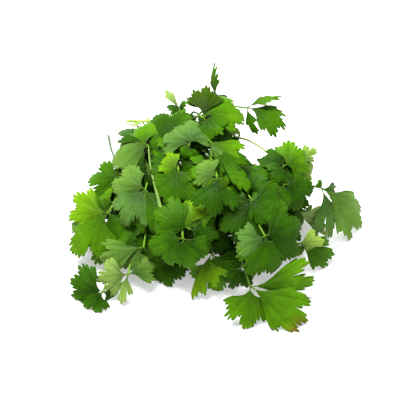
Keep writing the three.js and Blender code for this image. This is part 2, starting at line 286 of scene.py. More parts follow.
# how far behind the crown a stalk bears pairs of smaller leaflets
PAIRS = {
    "front_right": (44, 62, 82),
    "big_right": (14, 28, 44, 62),
    "small_right": (34, 52, 70),
    "folded_right": (16, 30, 46),
    "far_right": (48, 64),
    "mid_right": (14, 28, 42, 58),
    "under_top": (14, 26, 40),
    "upper_middle": (14, 28, 42),
    "dark_upper_left": (14, 26, 40),
    "mid_left": (14, 28, 44, 60),
    "low_left": (24, 42, 60),
    "front_left": (28, 46, 64, 84),
    "pale_left": (14, 28, 44, 62),
    "corner_left": (40, 60, 80),
    "front_middle": (14, 28, 44, 62),
    "folded_front": (30, 46, 64),
    "low_front": (14, 30, 48, 66),
    "bright_middle": (14, 26, 40, 56),
    "pale_middle": (14, 26, 40, 56),
    "yellow_middle": (14, 26, 40, 56),
    "striped_middle": (30, 44),
    "inner_right": (14, 28, 44, 60),
}
# their dark and deep tones are painted shade of the heap's inside, darker for pairs further back
NEAR_TONES = ("dark", "mid", "mid")  # of pairs that are nearer to the crown than DEEP_FROM
FAR_TONES = ("deep", "dark", "mid")  # and of those further off
DEEP_FROM = 36
PAIR_WANDER = (0.92, 1.08)  # how far off the given distances they are borne
PAIR_LENGTH = (17, 24)
PAIR_SPREAD = (0.85, 1.1)
PAIR_LEAN = 0.5  # how much they lean towards the crown from straight aside,
PAIR_SINK = 0.15  # into the heap,
PAIR_STRAY = 0.2  # and any way
LOWEST_TIP = 1

# single leaflets that close the view into the heap: how far behind the crown they are borne, tip
# x, y and z, spread and tone
# most are given the darkest tones, as painted shade of the heap's inside
LOWER = {
    "folded_front": [
        (14, 12, -50, 20, 1.0, "deep"),
        (22, -6, -56, 18, 1.0, "deep"),
        (34, 16, -38, 26, 1.0, "deep"),
    ],
    "front_middle": [(12, -30, -62, 22, 1.0, "deep"), (22, -12, -50, 26, 1.0, "dark")],
    "low_front": [(10, -14, -62, 8, 1.0, "deep"), (12, -44, -50, 14, 1.0, "deep")],
    "big_right": [(16, 20, -62, 28, 1.0, "deep"), (30, 30, -48, 34, 1.0, "deep")],
    "front_right": [
        (16, 8, -76, 6, 1.0, "dark"),
        (18, 26, -66, 10, 1.0, "deep"),
        (30, 8, -56, 6, 1.0, "deep"),
        (34, 24, -54, 14, 1.0, "deep"),
    ],
    "upper_left": [(18, -56, -12, 40, 1.0, "deep"), (20, -32, -8, 46, 1.0, "deep")],
    "dark_upper_left": [(8, -46, 14, 46, 1.0, "dark"), (18, -42, -2, 42, 1.0, "deep")],
    "low_left": [(8, -80, -16, 28, 1.0, "green"), (10, -60, -38, 26, 1.0, "deep")],
    "upper_middle": [(14, -6, 4, 56, 1.0, "deep"), (18, -30, 2, 54, 1.0, "deep")],
    "small_right": [(10, 58, -40, 16, 0.9, "dark"), (14, 44, -58, 12, 1.0, "deep")],
    "dark_right": [(10, 56, -8, 52, 1.1, "dark")],
    "pale_back": [(1, -21, 59, 54, 1.2, "dark")],
    "under_top": [(1, 21, 13, 65, 0.4, "lime")],
}

# ---------------------------------------------------------------- the stalks
STALK_TONE = (0.10, 0.22, 0.014)
STALK_TONES = {
    "upper_left": (0.13, 0.24, 0.04),
    "outer_left": (0.035, 0.075, 0.006),
    "pale_back": (0.24, 0.37, 0.05),
    "spire": (0.25, 0.36, 0.05),
    "dark_right": (0.24, 0.30, 0.05),
    # darker: painted shade, as this stalk lies in the shade under the leaves
    "front_right": (0.045, 0.10, 0.006),
}
STALK_TONE_WANDER = (0.85, 1.2)  # how uneven they are in brightness
STALK_GIRTHS = {"outer_left": 0.6, "pale_back": 0.7, "dark_right": 0.8, "upper_left": 0.8}
FOOT_RADIUS = 1.6
CROWN_RADIUS = 0.55
FLOOR_GAP = 0.02  # how far a stalk keeps above the surface
STALK_TAPER = 1.2  # 1 for an even taper, more for one that is quicker near the cut end
STALK_POINTS = 64
STALK_SIDES = 15
RIBS = 5
RIB_DEPTH = 0.06  # as a share of the radius
STREAKS_ROUND = 10  # how far the finish runs round a stalk, in its own measure
STREAK_SHIFT = 7.0  # by which it is shifted from one stalk to the next
CUT_RIM = 0.6  # share of the cut colour at the rim of the cut end

# cut side stems left on a stalk: from and to
STUBS = {
    "pale_back": [
        ((-62, 96, 5), (-58, 91, 1)),
        ((-55, 93, 6), (-52, 86, 1)),
        ((-57, 93, 6), (-64, 90, 4)),
        ((-65, 93, 7), (-57, 95, 2)),
    ],
}
STUB_RADII = (0.75, 0.55)
STUB_POINTS = 8
STUB_CLEARANCE = 0.7

# the short stem between a leaflet and its crown
STEM_TONE = (0.060, 0.160, 0.006)
STEM_RADII = (0.55, 0.2)  # at the crown and in the blade
STEM_POINTS = 7
STEM_SINK = 0.15  # how far it lies below the blade's own sheet
STEM_CLEARANCE = 0.6  # how far its middle keeps above the surface
STEM_HOLD = 0.1  # how far it runs into the blade, as a share of the leaflet's length
BLADE_START = 0.07  # where a blade begins, as a share of the leaflet's length
LOWER_STEM_RADII = (0.5, 0.3)
LOWER_STEM_HOLD = 0.08
LOWER_BLADE_START = 0.12
LOWER_ROLL = 12  # degrees by which a smaller leaflet may be rolled either way

# ---------------------------------------------------------------- how a leaflet is formed
# facing and bending, as in the CAD solids
HEAP = np.array([100.0, 104, 92])  # half width, half length and height of the leafy heap
HEAP_HEART = np.array([0.0, 6, 0])  # the point that the leaves face away from
FACE_BIAS = np.array([0, -0.5, 0.6])  # how leaves turn up and forwards from facing out
RESTING_TURN = 1.1  # how much more the leaves on the surface turn up
RESTING_REACH = 15.0  # height over which that fades out
DROOP = 0.6  # radians by which a leaflet bends along its length
DROOP_WANDER = (0.8, 1.2)  # how uneven the large leaflets are in that
CUP = 0.3  # how far its sides hang below its midrib
SETTLE = 3.0  # height under which leaves flatten out on the surface

# the margin: where each lobe ends in degrees, each lobe's reach as a share of the leaflet's length,
# and the reach at the bottom of each cut between two lobes
PLANS = {
    "fan": ((-84, -58, -21, 21, 58, 84), (0.74, 0.93, 1.0, 0.93, 0.74), (0.62, 0.66, 0.62, 0.6)),
    "three": ((-80, -27, 27, 80), (0.88, 1.0, 0.88), (0.52, 0.56)),
    "clover": ((-84, -50, -14, 26, 62, 84), (0.76, 0.96, 0.98, 0.86, 0.64), (0.62, 0.7, 0.54, 0.6)),
    "oval": ((-80, -26, 26, 80), (0.78, 1.0, 0.78), (0.72, 0.72)),
    "slim": ((-72, -30, 26, 72), (0.62, 1.0, 0.68), (0.4, 0.48)),
    "ovate": (
        (-86, -52, -24, -8, 8, 24, 52, 86),
        (0.5, 0.66, 0.86, 1.0, 0.86, 0.66, 0.5),
        (0.4, 0.5, 0.74, 0.74, 0.5, 0.4),
    ),
}
SLIM_UNDER = 0.58  # a leaflet that opens less wide than this is slim
FAN_OVER = 0.8  # one that opens wider than this may be a fan
END_WANDER = 5  # degrees by which the cuts are out of place
CUT_WANDER = 0.09  # and by which their depth differs
WAIST = 0.4  # how much of its full angle a leaflet spans at its base
WAIST_REACH = (-0.12, 0.5)  # reaches between which it opens from that to its full angle
SHOULDER = 0.36  # reach where the margin turns in to the base
LOBE_REACHES = (0.98, 1.07)  # how uneven lobes are
LOBE_BOW = (0.16, 0.34)  # by which a lobe's outer teeth fall short of its middle one
TOOTH_WIDTH = 3.4
TOOTH_DEPTH = 1.5
TOOTH_SHARE = 0.055  # of a small leaflet's length, which is as deep as its teeth are cut
TOOTH_POWER = 1.3  # 1 for a half-round tooth, more for a pointed one
UNEVEN_WIDTHS = (0.75, 1.25)  # how uneven teeth are in width,
UNEVEN_TIPS = (0.97, 1.0)  # in reach
UNEVEN_DEPTHS = (0.6, 1.4)  # and in depth
SLIT = 2.2  # how much deeper every third notch in a wide lobe is
TOOTH_STEPS = 8
ROWS = 10
ROW_CROWDING = 1.2  # more than 1, which sets the rows closer towards the margin
GATHERING = 0.75  # reach within which columns are gathered towards the middle of their lobe
GATHERING_POWER = 1.5
LOWER_DIVISION = {"steps": 4, "rows": 7, "tooth_width": 4}  # of the smaller leaflets

# the relief
PUFF = 0.06  # how steeply the blade rises from a tooth's vein
LOBE_PUFF = 0.10  # how steeply it rises from a lobe's main vein, up to LOBE_PUFF_REACH from it
LOBE_PUFF_REACH = 3
PLEAT = 0.05  # how steeply it rises from a lobe's middle towards the next lobe
PARTING = 0.25  # reach past the cuts over which a lobe comes to move on its own
SAG = 0.9  # how far a lobe may bend down
SAG_LYING = 0.2  # share of that when the leaflet's tip is on the surface
SAG_HEIGHT = 14.0  # tip height from which it may bend in full
RISE = 0.3  # how far it may bend up
TWIST = 0.6  # how far it may twist either way
LOBE_CUP = (-0.02, 0.09)  # how steeply its sides may rise
WAVE = 0.034  # height of the margin's long waves, as a share of the leaflet's length
WAVE_RATE = 2.3  # radians of wave to a radian of margin
RIPPLE = 0.012  # the same for its short waves
RIPPLE_RATE = 6

# the shell
THICKNESS = 0.34
RIM_THICKNESS = 0.16
RIM_FROM = 0.8  # share of the way to the margin from which a leaflet thins to its rim
VEIN_HEIGHT = 0.16  # by which veins stand out underneath
VEIN_FADE = 0.8  # share of that which is lost at the margin
VEIN_WIDTH = 0.25
SIDE_VEIN = 0.15  # added to the distance from a side vein, which makes it fainter than a main one
SIDE_VEIN_FADE = 0.6  # added besides towards the base, where side veins run out
FADE_REACH = (0.45, 0.8)  # reaches between which they come in


def smooth(x, low, high):
    """0 below low, 1 above high, and smooth in between."""
    t = np.clip((np.asarray(x, float) - low) / (high - low), 0, 1)
    return t * t * (3 - 2 * t)


def unit(v):
    return v / np.linalg.norm(v)


def facing(point):
    """The direction that a leaf at this point faces: out of the heap, turned up and forwards."""
    out = unit((point - HEAP_HEART) / HEAP / HEAP)
    out = out + [0, 0, RESTING_TURN * math.exp(-point[2] / RESTING_REACH)]
    return unit(out + FACE_BIAS)


class Lay:
    """How a leaflet lies: carries its flat places to where they are on the bent blade."""

    def __init__(self, crown, tip, roll, fold, droop=DROOP, cup=CUP):
        self.crown = np.array(crown, float)
        self.length = np.linalg.norm(np.array(tip, float) - self.crown)
        self.axis = unit(np.array(tip, float) - self.crown)
        self.tip_height = tip[2]
        up = facing((self.crown + tip) / 2)
        up = unit(up - up.dot(self.axis) * self.axis)
        turn = math.radians(roll)
        self.up = up * math.cos(turn) + np.cross(self.axis, up) * math.sin(turn)
        self.side = np.cross(self.up, self.axis)
        self.fold = math.radians(fold)
        self.droop = droop
        self.cup = cup

    def place(self, along, across):
        """Points for places given as shares of the length along and across."""
        chord = 2 * math.sin(self.droop / 2) / self.droop
        turned = self.droop * (0.5 - along)
        ahead = (math.sin(self.droop / 2) - np.sin(turned)) / self.droop / chord
        arch = (np.cos(turned) - math.cos(self.droop / 2)) / self.droop / chord
        aside = across * math.cos(self.fold)
        above = arch - np.abs(across) * math.sin(self.fold) - self.cup * across**2
        shares = np.stack([ahead, aside, above], axis=-1)
        return self.crown + self.length * shares @ np.array([self.axis, self.side, self.up])

    def normal(self, along, across):
        """The upper face's normal there."""
        step = 1e-3
        ahead = self.place(along + step, across) - self.place(along - step, across)
        aside = self.place(along, across + step) - self.place(along, across - step)
        n = np.cross(ahead, aside)
        return n / np.linalg.norm(n, axis=-1, keepdims=True)


def settled(points, clearance):
    """Points lifted where they would go below the surface, flattening out onto it."""
    z = points[..., 2] - clearance
    low = SETTLE * np.exp(np.minimum(z, SETTLE) / SETTLE - 1)
    points[..., 2] = np.where(z < SETTLE, low, z) + clearance
    return points


def plan_for(rng, spread):
    """A plan that suits how wide a leaflet opens."""
    if spread < SLIM_UNDER:
        return "slim"
    fitting = ("fan", "clover", "three") if spread > FAN_OVER else ("clover", "three")
    return fitting[rng.integers(len(fitting))]


def lobe_teeth(rng, count, reach, length, cuts):
    """Where a lobe's teeth part from -1 to 1 across it, and the reaches of their tips and notches."""
    widths = rng.uniform(*UNEVEN_WIDTHS, count)
    sides = np.concatenate([[0], np.cumsum(widths)]) / widths.sum() * 2 - 1
    middles = (sides[1:] + sides[:-1]) / 2
    tips = reach * (1 - rng.uniform(*LOBE_BOW) * middles**2) * rng.uniform(*UNEVEN_TIPS, count)
    deeper = np.ones(count - 1)
    if count > 3:
        deeper[(np.arange(count - 1) + rng.integers(2)) % 3 == 1] = SLIT
    depths = min(TOOTH_DEPTH / length, TOOTH_SHARE) * rng.uniform(*UNEVEN_DEPTHS, count - 1) * deeper
    notches = [cuts[0], *(np.minimum(tips[1:], tips[:-1]) - depths), cuts[1]]
    return sides, tips, notches


class Columns:
    """The lines that run from a leaflet's base to its margin, one for each point of the margin.

    Each array holds one value a column: its lobe's middle and half width in radians, its place u
    from -1 to 1 across the lobe, the margin's reach there, the angle from_vein between it and its
    tooth's own vein, whether that is the lobe's main vein, the lobe's number, and the reach cut
    past which the lobe is parted from its neighbours.
    """

    def __init__(self, rng, plan, spread, length, steps, tooth_width):
        ends, reaches, cuts = (np.array(values, float) for values in PLANS[plan])
        ends[1:-1] += rng.uniform(-END_WANDER, END_WANDER, len(ends) - 2)
        cuts += rng.uniform(-CUT_WANDER, CUT_WANDER, len(cuts))
        bounds = [SHOULDER, *cuts, SHOULDER]
        turn = np.pi * (np.arange(steps + 1) / steps - 0.5)
        aside, out = np.sin(turn), np.abs(np.cos(turn)) ** TOOTH_POWER
        columns = []
        for i, reach in enumerate(reaches):
            middle, half = (ends[i] + ends[i + 1]) / 2, (ends[i + 1] - ends[i]) / 2
            reach = reach * rng.uniform(*LOBE_REACHES)
            arc = 2 * math.radians(half) * spread * reach * length
            count = max(2, round(arc / tooth_width))
            sides, tips, notches = lobe_teeth(rng, count, reach, length, bounds[i : i + 2])
            middles = (sides[1:] + sides[:-1]) / 2
            main = np.argmin(np.abs(middles))
            cut = cuts[max(i - 1, 0) : i + 1].min()
            for k in range(count):
                u = sides[k] + (sides[k + 1] - sides[k]) * (aside + 1) / 2
                notch = np.where(aside < 0, notches[k], notches[k + 1])
                reached = notch + (tips[k] - notch) * out
                from_vein = np.abs(u - middles[k]) * half
                tooth = (middle, half, u, reached, from_vein, k == main, i, cut)
                tooth = np.array(np.broadcast_arrays(*tooth))
                columns.append(tooth[:, :-1])
        columns.append(tooth[:, -1:])  # each tooth but the last ends where the next one begins
        columns = np.concatenate(columns, axis=1)
        middle, half, self.u, self.reach, from_vein, main, lobe, self.cut = columns
        self.middle, self.half, self.from_vein = np.radians([middle, half, from_vein]) * spread
        self.main = main > 0.5
        self.lobe = lobe.astype(int)
        self.lobes = len(reaches)


def relief(rng, lay, columns, outward, reach, angle):
    """How far a leaflet's points stand off its bent sheet: tissue puffed up between the veins, lobes
    that bend and twist on their own past the cuts that part them, and a gently wavy margin."""
    each_lobe = lambda low, high: rng.uniform(low, high, columns.lobes)[columns.lobe]
    length = lay.length
    from_vein = columns.from_vein * reach * length
    from_middle = np.abs(columns.u) * columns.half * reach * length
    free = np.maximum(reach - columns.cut, 0)
    parted = smooth(free, 0, PARTING)
    sag = SAG * (SAG_LYING + (1 - SAG_LYING) * smooth(lay.tip_height, 0, SAG_HEIGHT))
    swelling = np.sin(np.pi * outward**0.8 * 0.9)  # most about half way out, little at the margin

    lift = (PUFF * from_vein + LOBE_PUFF * np.minimum(from_middle, LOBE_PUFF_REACH)) * swelling
    lift = lift + PLEAT * from_middle * (1 - parted)
    lift = lift + each_lobe(-sag, RISE) * length * free**2
    lift = lift + each_lobe(-TWIST, TWIST) * length * free * (angle - columns.middle)
    lift = lift + each_lobe(*LOBE_CUP) * from_middle * parted
    phases = rng.uniform(0, 2 * np.pi, 2)
    lift = lift + WAVE * length * reach**2 * np.sin(WAVE_RATE * angle + phases[0])
    return lift + RIPPLE * length * reach**3 * np.sin(RIPPLE_RATE * angle + phases[1])


def sheet_normals(sheet):
    """The normal at each point of a sheet whose first row is all one point."""
    normal = np.cross(np.gradient(sheet, axis=0), np.gradient(sheet, axis=1))
    normal[0] = normal[1].mean(axis=0)
    return normal / (np.linalg.norm(normal, axis=-1, keepdims=True) + 1e-12)


def flattened(grid):
    """A grid's values one after another, with its first row, which is all one point, kept once."""
    return np.concatenate([grid[0, :1], grid[1:].reshape(-1, *grid.shape[2:])])


def shell_faces(rows, width):
    """The faces of a closed shell of two such grids, the upper one's points listed first."""
    count = 1 + rows * width
    index = lambda i, j: 1 + (i - 1) * width + j
    upper = [(0, index(1, j), index(1, j + 1)) for j in range(width - 1)]
    for i in range(1, rows):
        for j in range(width - 1):
            upper.append((index(i, j), index(i + 1, j), index(i + 1, j + 1), index(i, j + 1)))
    lower = [tuple(v + count for v in reversed(face)) for face in upper]
    first_side = [index(i, 0) for i in range(rows, 0, -1)]
    last_side = [index(i, width - 1) for i in range(1, rows + 1)]
    margin = [index(rows, j) for j in range(width - 2, 0, -1)]
    rim = first_side + [0] + last_side + margin
    strip = [(a, b, b + count, a + count) for a, b in zip(rim, rim[1:] + rim[:1])]
    return upper + lower + strip


def leaflet(rng, lay, spread, base, plan, steps=TOOTH_STEPS, rows=ROWS, tooth_width=TOOTH_WIDTH):
    """One leaflet as a closed thin shell: vertices, faces, and what the finish reads."""
    columns = Columns(rng, plan, spread, lay.length, steps, tooth_width)
    outward = 1 - (1 - np.arange(rows + 1) / rows)[:, None] ** ROW_CROWDING
    reach = outward * columns.reach
    gathered = 1 + (1 - np.clip(reach / GATHERING, 0, 1)) ** GATHERING_POWER
    angle = columns.middle + columns.half * np.sign(columns.u) * np.abs(columns.u) ** gathered
    angle = angle * (WAIST + (1 - WAIST) * smooth(reach, *WAIST_REACH))
    along = base + (1 - base) * reach * np.cos(angle)
    across = (1 - base) * reach * np.sin(angle)
    lift = relief(rng, lay, columns, outward, reach, angle)
    sheet = settled(lay.place(along, across) + lift[..., None] * lay.normal(along, across), THICKNESS)

    faint = SIDE_VEIN + SIDE_VEIN_FADE * (1 - smooth(reach, *FADE_REACH))
    vein = columns.from_vein * reach * lay.length + np.where(columns.main, 0, faint)
    half = RIM_THICKNESS / 2 + (THICKNESS - RIM_THICKNESS) / 2 * (1 - smooth(outward, RIM_FROM, 1))
    ridge = VEIN_HEIGHT * np.exp(-((vein / VEIN_WIDTH) ** 2)) * (1 - VEIN_FADE * outward)
    normal = sheet_normals(sheet)
    top = sheet + half[..., None] * normal
    under = sheet - (half + ridge)[..., None] * normal
    on_both = lambda grid: np.tile(flattened(np.broadcast_to(grid, reach.shape)), 2)
    return {
        "vertices": np.concatenate([flattened(top), flattened(under)]),
        "faces": shell_faces(rows, len(columns.u)),
        "vein": on_both(vein),
        "edge": on_both(outward),
        "place": np.column_stack([on_both(along * lay.length), on_both(across * lay.length)]),
        "under": np.repeat([0.0, 1.0], 1 + rows * len(columns.u)),
        "angle": on_both(angle),
        "reach": on_both(reach),
    }


def coloured_with_painted_shade(blade, rng, tone):
    """Gives a leaflet its colour at each vertex: painted shade that darkens it towards the base, lighter
    and yellower towards the margin.
    """
    reach = blade["reach"][:, None]
    colour = np.array(TONES_AND_PAINTED_LIGHT[tone]) * rng.uniform(*TONE_WANDER)
    warmth = 1 + np.array(MARGIN_WARMTH) * reach**2
    # painted shade: dark at the base, light at the margin
    shade = PAINTED_SHADE_AT_BASE + (PAINTED_LIGHT_AT_MARGIN - PAINTED_SHADE_AT_BASE) * smooth(reach, *PAINTED_SHADE_REACH)
    blade["tone"] = colour * shade * warmth
    blade["seed"] = np.full(len(reach), rng.uniform(0, FINISH_SHIFT))
    return blade


def scorched(blade):
    """Gives a leaflet browned tips at one side."""
    angle, reach = blade["angle"][:, None], blade["reach"][:, None]
    aged = smooth(reach, *AGEING) * smooth(angle, *BROWN_FROM) * (1 - smooth(angle, *BROWN_TO))
    burnt = smooth(reach, *BURNING) * aged
    for share, brown in ((AGED_SHARE * aged, AGED), (BURNT_SHARE * burnt, BURNT)):
        blade["tone"] = blade["tone"] * (1 - share) + np.array(brown) * share
    return blade


def tube(points, radii, sides=8, ribs=0, rib_depth=0.0):
    """A closed tube through the points: vertices and faces."""
    points = np.array(points, float)
    ahead = np.gradient(points, axis=0)
    ahead /= np.linalg.norm(ahead, axis=1, keepdims=True)
    side = np.cross(ahead[0], [0, 0, 1.0] if abs(ahead[0][2]) < 0.9 else [1.0, 0, 0])
    turns = np.linspace(0, 2 * np.pi, sides, endpoint=False)
    ribbed = 1 + rib_depth * np.cos(ribs * turns)
    rings = []
    for point, way, radius in zip(points, ahead, radii):
        side = unit(side - side.dot(way) * way)
        up = np.cross(way, side)
        ring = np.cos(turns)[:, None] * side + np.sin(turns)[:, None] * up
        rings.append(point + (radius * ribbed)[:, None] * ring)
    vertices = np.concatenate([*rings, points[:1], points[-1:]])
    following = [(j, (j + 1) % sides) for j in range(sides)]
    faces = []
    for start in range(0, (len(points) - 1) * sides, sides):
        faces += [(start + a, start + b, start + b + sides, start + a + sides) for a, b in following]
    end = (len(points) - 1) * sides
    first, last = end + sides, end + sides + 1
    for a, b in following:
        faces += [(first, b, a), (last, end + a, end + b)]
    return vertices, faces


def curve_through(points, count):
    """Evenly shared points on a smooth Catmull-Rom curve through the given ones."""
    points = np.array(points, float)
    padded = np.concatenate([2 * points[:1] - points[1:2], points, 2 * points[-1:] - points[-2:-1]])
    out = []
    for s in np.linspace(0, len(points) - 1, count):
        i = min(int(s), len(points) - 2)
        t = s - i
        p0, p1, p2, p3 = padded[i : i + 4]
        out.append(0.5 * (2 * p1 + (p2 - p0) * t + (2 * p0 - 5 * p1 + 4 * p2 - p3) * t * t
                          + (3 * p1 - p0 - 3 * p2 + p3) * t**3))
    return np.array(out)


ROUNDING = 1e5  # steps to a metre, to which places are rounded to tell a CAD solid's vertices apart
CENTRED = 0.02  # how near the middle of its neighbours the centre of an end lies


def stalk_line(name, crown):
    """The middles of a CAD stalk's rings, from its cut end to its crown."""
    mesh = frame["nodes"][name].data
    places = {}
    rounded = [tuple(round(c * ROUNDING) for c in v.co) for v in mesh.vertices]
    merged = [places.setdefault(place, len(places)) for place in rounded]
    position = np.zeros((len(places), 3))
    for v in mesh.vertices:
        position[merged[v.index]] = np.array(v.co) / MM
    near = [set() for _ in places]
    for edge in mesh.edges:
        a, b = (merged[v] for v in edge.vertices)
        if a != b:
            near[a].add(b)
            near[b].add(a)
    # a vertex that lies in the middle of its neighbours is the centre of an end: walk from the far
    # one, ring by ring, to the one at the crown, which is left out
    centres = [i for i, others in enumerate(near)
               if np.linalg.norm(position[list(others)].mean(axis=0) - position[i]) < CENTRED]
    start = max(centres, key=lambda i: np.linalg.norm(position[i] - crown))
    line, seen, ring = [], {start}, near[start]
    while ring:
        line.append(position[list(ring)].mean(axis=0))
        seen |= ring
        ring = {i for v in ring for i in near[v]} - seen
    return np.array(line[:-1])


def as_piece(vertices, faces, tone, seed, under=0.0, place=0.0):
    """A shell without veins or margin, with what the finish reads."""
    count = len(vertices)
    full = lambda value: np.broadcast_to(value, count)
    return {
        "vertices": vertices,
        "faces": faces,
        "tone": tone,
        "vein": full(0.0),
        "edge": full(0.0),
        "under": full(under),
        "place": np.broadcast_to(place, (count, 2)),
        "seed": full(seed),
    }


def add_mesh(name, pieces, material, node):
    """One object from several closed shells, in the frame, standing for its CAD node."""
    vertices = np.concatenate([p["vertices"] for p in pieces]) * MM
    faces, start = [], 0
    for p in pieces:
        faces += [tuple(v + start for v in f) for f in p["faces"]]
        start += len(p["vertices"])
    mesh = bpy.data.meshes.new(name)
    mesh.from_pydata(vertices.tolist(), [], faces)
    mesh.polygons.foreach_set("use_smooth", [True] * len(mesh.polygons))

    def give(key, kind, field, values):
        made = mesh.attributes.new(key, kind, "POINT")
        made.data.foreach_set(field, np.concatenate(values).astype(np.float32).ravel())

    for key in ("vein", "edge", "under"):
        give(key, "FLOAT", "value", [p[key] for p in pieces])
    give("place", "FLOAT_VECTOR", "vector", [np.column_stack([p["place"], p["seed"]]) for p in pieces])
    tones = [np.broadcast_to(p["tone"], (len(p["vertices"]), 3)) for p in pieces]
    give("tone", "FLOAT_COLOR", "color", [np.column_stack([t, np.ones(len(t))]) for t in tones])
    mesh.materials.append(material)
    thing = bpy.data.objects.new(name, mesh)
    bpy.context.scene.collection.objects.link(thing)
    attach(thing, "root")
    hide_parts(node)


# ---------------------------------------------------------------- materials
VEIN_COLOUR = (0.30, 0.50, 0.06)
# paler as a leaf's underside is, and paler still as painted light on undersides that lie in shade
PALE_UNDERSIDE_WITH_PAINTED_LIGHT = (0.30, 0.46, 0.18)
UNDER_VEIN_COLOUR = (0.40, 0.56, 0.22)
THROUGH_COLOUR = (1.9, 1.5, 0.4)  # what light that comes through a leaf is multiplied by
GLOW = 0.24  # share of that light in a leaf's look
CUT_COLOUR = (0.62, 0.68, 0.38)


def node_material(name):
    material = bpy.data.materials.new(name)
    material.use_nodes = True
    tree = material.node_tree
    tree.nodes.clear()
    return material, tree


def add_node(tree, kind, **values):
    """A node with its properties and unlinked inputs set; a socket value links it."""
    made = tree.nodes.new(kind)
    inputs = values.pop("inputs", {})
    for key, value in values.items():
        setattr(made, key, value)
    for key, value in inputs.items():
        if isinstance(value, bpy.types.NodeSocket):
            tree.links.new(value, made.inputs[key])
        else:
            made.inputs[key].default_value = value
    return made


def attribute(tree, name, output="Fac"):
    return add_node(tree, "ShaderNodeAttribute", attribute_name=name).outputs[output]


def noise(tree, place, scale, detail):
    inputs = {"Vector": place, "Scale": scale, "Detail": detail}
    return add_node(tree, "ShaderNodeTexNoise", inputs=inputs).outputs["Fac"]


def maths(tree, operation, a, b):
    return add_node(tree, "ShaderNodeMath", operation=operation, inputs={0: a, 1: b}).outputs[0]


def times(tree, a, b):
    return maths(tree, "MULTIPLY", a, b)


def ranged(tree, value, low, high, to_low, to_high):
    inputs = {0: value, 1: low, 2: high, 3: to_low, 4: to_high}
    return add_node(tree, "ShaderNodeMapRange", inputs=inputs).outputs[0]


def scaled(tree, colour, share):
    inputs = {0: colour, "Scale": share}
    return add_node(tree, "ShaderNodeVectorMath", operation="SCALE", inputs=inputs).outputs[0]


def mixed(tree, share, a, b):
    """Colour a, with that share of it replaced by b; b may be a plain colour."""
    b = (*b, 1.0) if isinstance(b, tuple) else b
    return add_node(tree, "ShaderNodeMix", data_type="RGBA", inputs={0: share, 6: a, 7: b}).outputs[2]


def bumped(tree, height, strength, distance, **more):
    inputs = {"Strength": strength, "Distance": distance, "Height": height, **more}
    return add_node(tree, "ShaderNodeBump", inputs=inputs).outputs[0]


def finished(tree, shader):
    add_node(tree, "ShaderNodeOutputMaterial", inputs={"Surface": shader.outputs[0]})


def leaf_material():
    """Soft green tissue with paler veins and margin, painted shade beside the veins, a paler underside,
    and light coming through.
    """
    material, tree = node_material("coriander_leaf")
    tone = attribute(tree, "tone", "Color")
    place = attribute(tree, "place", "Vector")
    vein = attribute(tree, "vein")
    under = attribute(tree, "under")
    edge = attribute(tree, "edge")
    patches = noise(tree, place, 0.09, 2.0)
    grain = noise(tree, place, 0.8, 3.0)
    blisters = noise(tree, place, 0.3, 1.5)
    cells = add_node(tree, "ShaderNodeTexVoronoi", feature="DISTANCE_TO_EDGE",
                     inputs={"Vector": place, "Scale": 0.6, "Randomness": 0.9})
    net = ranged(tree, cells.outputs["Distance"], 0.0, 0.12, 1.0, 0.0)
    line = ranged(tree, vein, 0.07, 0.24, 1.0, 0.0)

    # the upper face: patchy and grainy, with painted shade beside the veins where the blade dips into
    # them, and a pale net, veins and margin
    shade = ranged(tree, patches, 0.3, 0.7, 0.84, 1.16)
    shade = times(tree, shade, ranged(tree, grain, 0.2, 0.8, 0.92, 1.08))
    shade = times(tree, shade, ranged(tree, vein, 0.15, 1.3, 0.78, 1.08))
    colour = scaled(tree, tone, shade)
    lighter = mixed(tree, 0.35, colour, VEIN_COLOUR)
    colour = mixed(tree, times(tree, net, 0.1), colour, lighter)
    colour = mixed(tree, times(tree, line, 0.36), colour, lighter)
    colour = mixed(tree, ranged(tree, edge, 0.95, 1.0, 0.0, 0.2), colour, lighter)

    # the underside: paler, as a leaf's underside is, and paler still as painted light on undersides that
    # lie in shade
    below = mixed(tree, 0.42, colour, PALE_UNDERSIDE_WITH_PAINTED_LIGHT)
    below = mixed(tree, times(tree, line, 0.5), below, UNDER_VEIN_COLOUR)
    colour = mixed(tree, under, colour, below)

    # veins and net sunk in, over broad blisters
    height = maths(tree, "SUBTRACT", grain, line)
    height = maths(tree, "ADD", times(tree, net, -0.4), height)
    swollen = bumped(tree, blisters, 0.5, 0.0012)
    normal = bumped(tree, height, 0.3, 0.00025, Normal=swollen)

    rough = maths(tree, "ADD", ranged(tree, grain, 0.2, 0.8, 0.38, 0.5), times(tree, under, 0.2))
    gloss = add_node(tree, "ShaderNodeBsdfPrincipled", inputs={
        "Base Color": colour, "Roughness": rough, "Normal": normal, "Specular IOR Level": 0.05})
    through = add_node(tree, "ShaderNodeVectorMath", operation="MULTIPLY",
                       inputs={0: colour, 1: THROUGH_COLOUR})
    glow = add_node(tree, "ShaderNodeBsdfTranslucent", inputs={
        "Color": through.outputs[0], "Normal": normal})
    shader = add_node(tree, "ShaderNodeMixShader", inputs={
        0: GLOW, 1: gloss.outputs[0], 2: glow.outputs[0]})
    finished(tree, shader)
    return material


